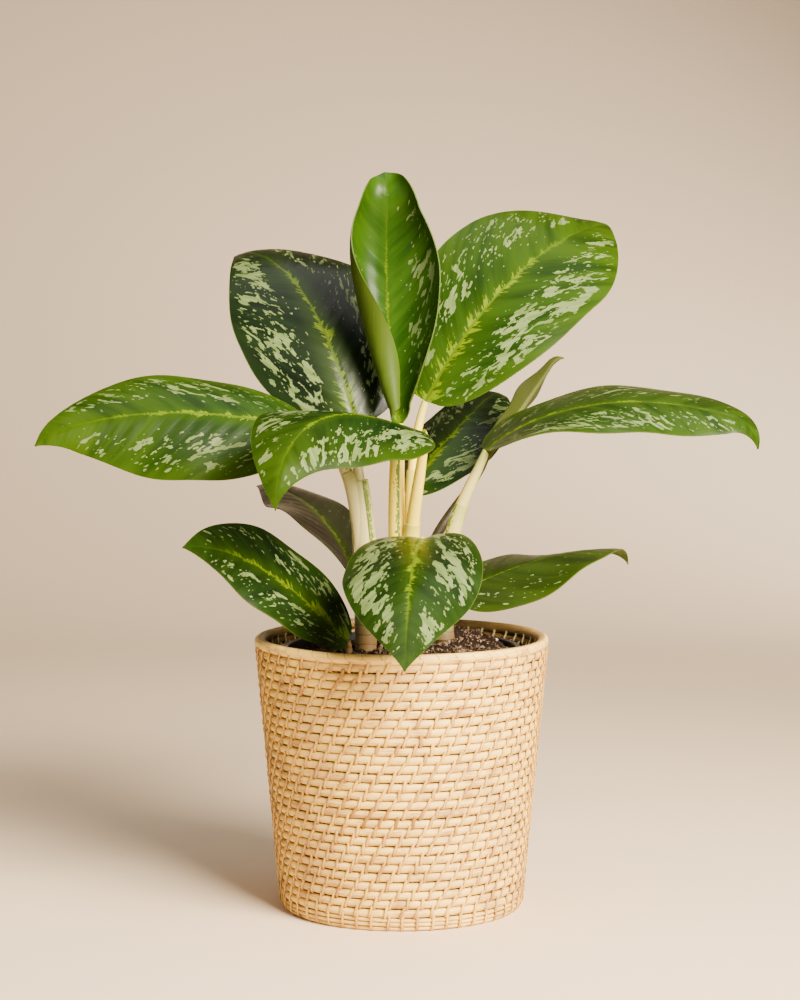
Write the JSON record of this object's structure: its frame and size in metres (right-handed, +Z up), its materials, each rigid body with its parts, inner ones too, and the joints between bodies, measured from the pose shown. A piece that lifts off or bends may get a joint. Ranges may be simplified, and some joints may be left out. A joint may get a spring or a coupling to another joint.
{
  "type": "potted aglaonema",
  "caption": "Bushy variegated aglaonema in a black nursery pot, set in a round coiled rattan basket.",
  "frame": {"origin": "middle of the basket's flat underside", "axes": "+Z up, -Y towards the side the picture shows, +X to its right"},
  "size_m": [0.5063, 0.3533, 0.526],
  "materials": {
    "rattan": "matt woven rattan",
    "black_plastic": "satin",
    "soil": "matt crumbs",
    "stalk": "satin",
    "leaf": "satin, patterned green"
  },
  "bodies": {
    "root": {"basket": "rattan", "nursery_pot": "black_plastic", "soil": "soil", "shoot_left": "stalk", "shoot_middle": "stalk", "shoot_right": "stalk", "leaf_far_left": "leaf", "leaf_upper_left": "leaf", "leaf_young_upright": "leaf", "leaf_upper_right": "leaf", "leaf_front_left": "leaf", "leaf_far_right": "leaf", "leaf_young_narrow": "leaf", "leaf_rear_right": "leaf", "leaf_rear_left": "leaf", "leaf_low_left": "leaf", "leaf_low_front": "leaf", "leaf_low_right": "leaf"}
  },
  "joints": []
}
